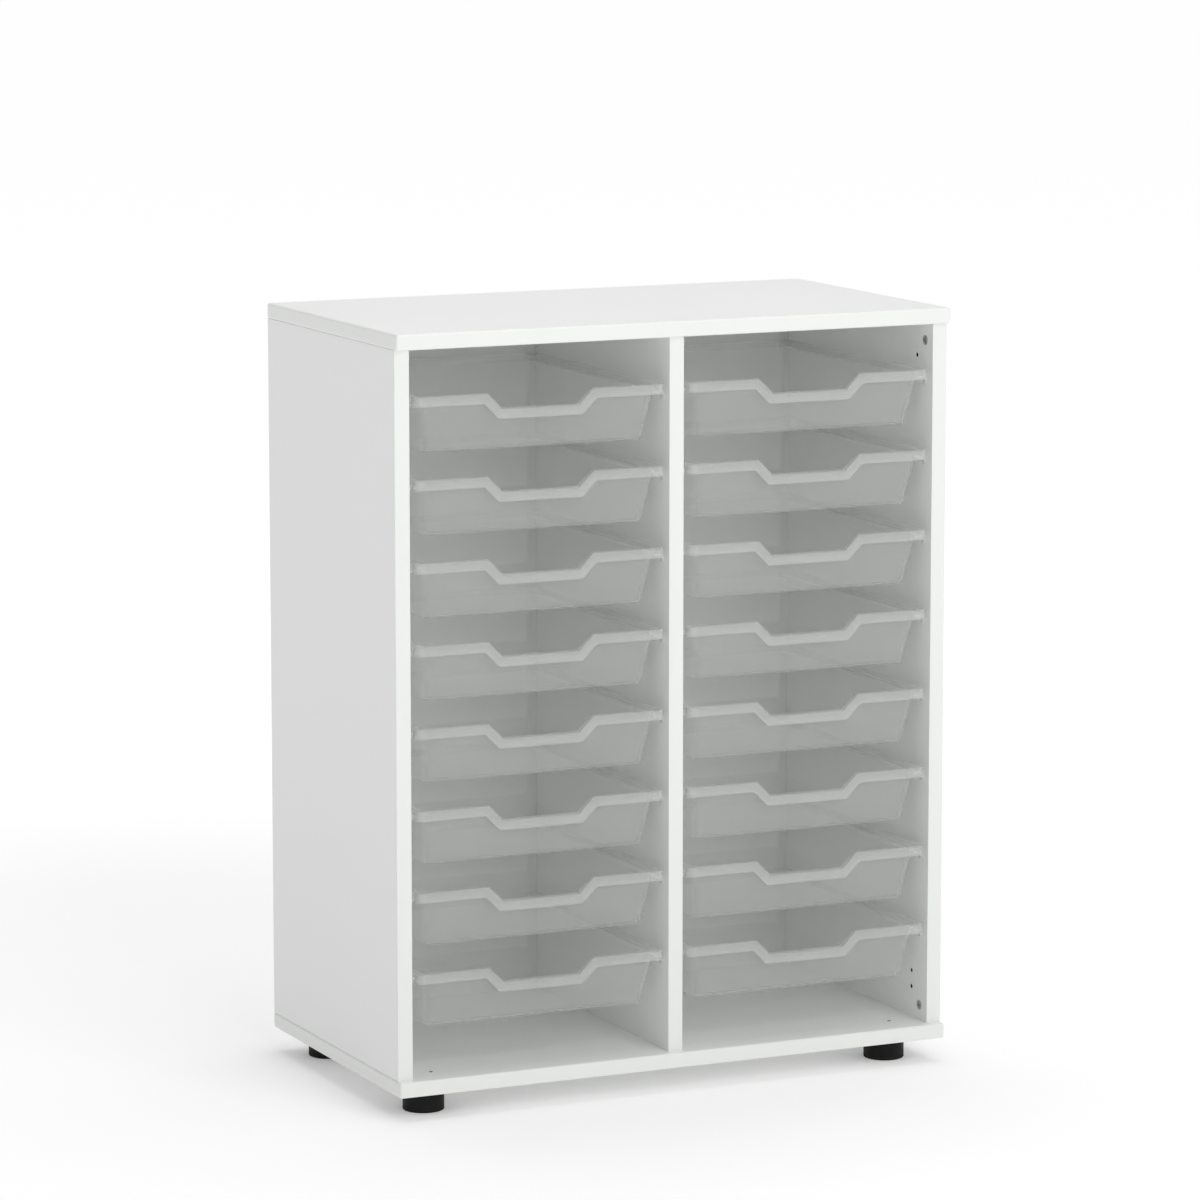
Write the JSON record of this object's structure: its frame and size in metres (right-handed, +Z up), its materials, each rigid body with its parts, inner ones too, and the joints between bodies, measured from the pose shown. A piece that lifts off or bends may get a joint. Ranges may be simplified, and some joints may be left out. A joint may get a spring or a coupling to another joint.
{
  "type": "classroom tray storage unit",
  "caption": "Low open-fronted white cabinet with two bays of shallow sliding frosted trays on runners, standing on round black levelling feet.",
  "frame": {"origin": "on the floor, under the centre of the cabinet's footprint", "axes": "+Z up, the open front faces -Y, +X to the right as seen from the front"},
  "size_m": [0.692, 0.385, 0.8884],
  "materials": {
    "white_board": "white melamine on chipboard, fine satin texture",
    "white_back": "white lacquered fibreboard",
    "white_edging": "white plastic edging, satin",
    "frosted_plastic": "frosted translucent moulded plastic",
    "runner_plastic": "white extruded plastic",
    "zinc": "die-cast zinc, dull",
    "white_screw": "steel screws with white lacquered heads",
    "steel": "bright zinc plated steel",
    "beech": "plain beech",
    "black_plastic": "black moulded plastic, satin",
    "brass_insert": "plain turned brass"
  },
  "bodies": {
    "cabinet": {"top_panel": "white_board", "bottom_panel": "white_board", "left_side_panel": "white_board", "right_side_panel": "white_board", "centre_divider": "white_board", "back_panel": "white_back", "top_edging": "white_edging", "bottom_edging": "white_edging", "left_side_edging": "white_edging", "right_side_edging": "white_edging", "divider_edging": "white_edging", "cam_housings": "zinc", "cam_bolts": "steel", "dowels": "beech", "runner_screws": "white_screw", "back_panel_screws": "steel", "runners_left_1": "runner_plastic", "runners_left_2": "runner_plastic", "runners_left_3": "runner_plastic", "runners_left_4": "runner_plastic", "runners_left_5": "runner_plastic", "runners_left_6": "runner_plastic", "runners_left_7": "runner_plastic", "runners_left_8": "runner_plastic", "runners_right_1": "runner_plastic", "runners_right_2": "runner_plastic", "runners_right_3": "runner_plastic", "runners_right_4": "runner_plastic", "runners_right_5": "runner_plastic", "runners_right_6": "runner_plastic", "runners_right_7": "runner_plastic", "runners_right_8": "runner_plastic", "foot_inserts": "brass_insert"},
    "tray_left_1": {"tray_left_1": "frosted_plastic"},
    "tray_left_2": {"tray_left_2": "frosted_plastic"},
    "tray_left_3": {"tray_left_3": "frosted_plastic"},
    "tray_left_4": {"tray_left_4": "frosted_plastic"},
    "tray_left_5": {"tray_left_5": "frosted_plastic"},
    "tray_left_6": {"tray_left_6": "frosted_plastic"},
    "tray_left_7": {"tray_left_7": "frosted_plastic"},
    "tray_left_8": {"tray_left_8": "frosted_plastic"},
    "tray_right_1": {"tray_right_1": "frosted_plastic"},
    "tray_right_2": {"tray_right_2": "frosted_plastic"},
    "tray_right_3": {"tray_right_3": "frosted_plastic"},
    "tray_right_4": {"tray_right_4": "frosted_plastic"},
    "tray_right_5": {"tray_right_5": "frosted_plastic"},
    "tray_right_6": {"tray_right_6": "frosted_plastic"},
    "tray_right_7": {"tray_right_7": "frosted_plastic"},
    "tray_right_8": {"tray_right_8": "frosted_plastic"},
    "foot_front_left": {"foot_front_left": "black_plastic"},
    "spindle_front_left": {"foot_spindle_front_left": "steel"},
    "foot_front_right": {"foot_front_right": "black_plastic"},
    "spindle_front_right": {"foot_spindle_front_right": "steel"},
    "foot_rear_left": {"foot_rear_left": "black_plastic"},
    "spindle_rear_left": {"foot_spindle_rear_left": "steel"},
    "foot_rear_right": {"foot_rear_right": "black_plastic"},
    "spindle_rear_right": {"foot_spindle_rear_right": "steel"}
  },
  "joints": [
    {"name": "tray_left_1_slide", "type": "slide", "parent": "cabinet", "child": "tray_left_1", "axis": [0, -1, 0], "range_m": [0, 0.37]},
    {"name": "tray_left_2_slide", "type": "slide", "parent": "cabinet", "child": "tray_left_2", "axis": [0, -1, 0], "range_m": [0, 0.37]},
    {"name": "tray_left_3_slide", "type": "slide", "parent": "cabinet", "child": "tray_left_3", "axis": [0, -1, 0], "range_m": [0, 0.37]},
    {"name": "tray_left_4_slide", "type": "slide", "parent": "cabinet", "child": "tray_left_4", "axis": [0, -1, 0], "range_m": [0, 0.37]},
    {"name": "tray_left_5_slide", "type": "slide", "parent": "cabinet", "child": "tray_left_5", "axis": [0, -1, 0], "range_m": [0, 0.37]},
    {"name": "tray_left_6_slide", "type": "slide", "parent": "cabinet", "child": "tray_left_6", "axis": [0, -1, 0], "range_m": [0, 0.37]},
    {"name": "tray_left_7_slide", "type": "slide", "parent": "cabinet", "child": "tray_left_7", "axis": [0, -1, 0], "range_m": [0, 0.37]},
    {"name": "tray_left_8_slide", "type": "slide", "parent": "cabinet", "child": "tray_left_8", "axis": [0, -1, 0], "range_m": [0, 0.37]},
    {"name": "tray_right_1_slide", "type": "slide", "parent": "cabinet", "child": "tray_right_1", "axis": [0, -1, 0], "range_m": [0, 0.37]},
    {"name": "tray_right_2_slide", "type": "slide", "parent": "cabinet", "child": "tray_right_2", "axis": [0, -1, 0], "range_m": [0, 0.37]},
    {"name": "tray_right_3_slide", "type": "slide", "parent": "cabinet", "child": "tray_right_3", "axis": [0, -1, 0], "range_m": [0, 0.37]},
    {"name": "tray_right_4_slide", "type": "slide", "parent": "cabinet", "child": "tray_right_4", "axis": [0, -1, 0], "range_m": [0, 0.37]},
    {"name": "tray_right_5_slide", "type": "slide", "parent": "cabinet", "child": "tray_right_5", "axis": [0, -1, 0], "range_m": [0, 0.37]},
    {"name": "tray_right_6_slide", "type": "slide", "parent": "cabinet", "child": "tray_right_6", "axis": [0, -1, 0], "range_m": [0, 0.37]},
    {"name": "tray_right_7_slide", "type": "slide", "parent": "cabinet", "child": "tray_right_7", "axis": [0, -1, 0], "range_m": [0, 0.37]},
    {"name": "tray_right_8_slide", "type": "slide", "parent": "cabinet", "child": "tray_right_8", "axis": [0, -1, 0], "range_m": [0, 0.37]},
    {"name": "foot_front_left_slide", "type": "slide", "parent": "cabinet", "child": "foot_front_left", "axis": [0, 0, -1], "range_m": [0, 0.008]},
    {"name": "spindle_front_left_turn", "type": "hinge", "parent": "foot_front_left", "child": "spindle_front_left", "pos_m": [-0.2928, -0.1545, 0.03], "axis": [0, 0, -1], "range_deg": [0, 2304]},
    {"name": "foot_front_right_slide", "type": "slide", "parent": "cabinet", "child": "foot_front_right", "axis": [0, 0, -1], "range_m": [0, 0.008]},
    {"name": "spindle_front_right_turn", "type": "hinge", "parent": "foot_front_right", "child": "spindle_front_right", "pos_m": [0.2928, -0.1545, 0.03], "axis": [0, 0, -1], "range_deg": [0, 2304]},
    {"name": "foot_rear_left_slide", "type": "slide", "parent": "cabinet", "child": "foot_rear_left", "axis": [0, 0, -1], "range_m": [0, 0.008]},
    {"name": "spindle_rear_left_turn", "type": "hinge", "parent": "foot_rear_left", "child": "spindle_rear_left", "pos_m": [-0.2928, 0.163, 0.03], "axis": [0, 0, -1], "range_deg": [0, 2304]},
    {"name": "foot_rear_right_slide", "type": "slide", "parent": "cabinet", "child": "foot_rear_right", "axis": [0, 0, -1], "range_m": [0, 0.008]},
    {"name": "spindle_rear_right_turn", "type": "hinge", "parent": "foot_rear_right", "child": "spindle_rear_right", "pos_m": [0.2928, 0.163, 0.03], "axis": [0, 0, -1], "range_deg": [0, 2304]}
  ],
  "couplings": [
    {"joint": "spindle_front_left_turn", "follows": "foot_front_left_slide", "rad_per_m": 5026.5},
    {"joint": "spindle_front_right_turn", "follows": "foot_front_right_slide", "rad_per_m": 5026.5},
    {"joint": "spindle_rear_left_turn", "follows": "foot_rear_left_slide", "rad_per_m": 5026.5},
    {"joint": "spindle_rear_right_turn", "follows": "foot_rear_right_slide", "rad_per_m": 5026.5}
  ]
}
